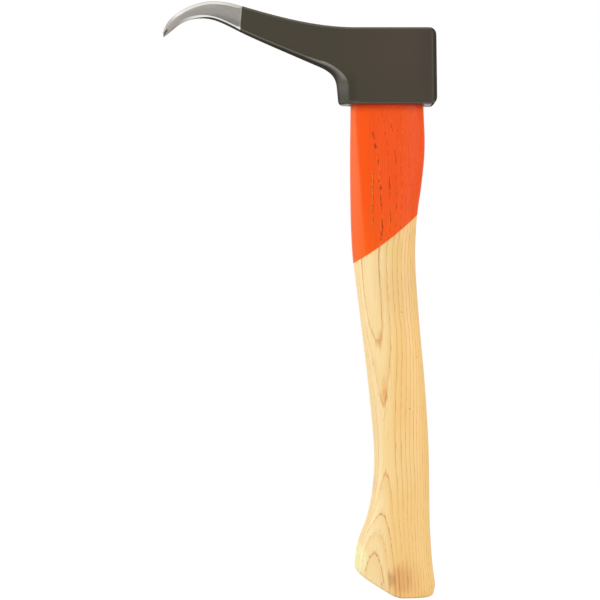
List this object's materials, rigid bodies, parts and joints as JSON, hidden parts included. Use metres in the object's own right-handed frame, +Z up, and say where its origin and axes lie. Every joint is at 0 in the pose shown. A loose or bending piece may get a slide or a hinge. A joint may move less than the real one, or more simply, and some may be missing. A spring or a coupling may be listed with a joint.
{
  "type": "pickaroon",
  "caption": "Short one-handed pickaroon: a dark painted forged steel head with one long curved pick and a bare ground point, on a curved ash handle with an orange dipped neck.",
  "frame": {"origin": "on the axis of the handle where it enters the head, in the plane of the head's underside", "axes": "+Z up the handle and through the eye towards the top of the head; the pick points to -X and the poll faces +X; the cheeks face -Y and +Y"},
  "size_m": [0.1744, 0.03, 0.3792],
  "materials": {
    "head_steel": "dark satin paint on the block and the root of the pick, bare ground steel on the last third of the pick",
    "handle_wood": "clear lacquered ash with long grain",
    "handle_paint": "satin orange dipped paint with open grain showing through",
    "wedge_wood": "plain hardwood end grain",
    "wedge_steel": "plain steel"
  },
  "bodies": {
    "root": {"head": "head_steel", "handle": "handle_wood", "handle_coat": "handle_paint", "wood_wedge": "wedge_wood", "ring_wedge": "wedge_steel"}
  },
  "joints": []
}
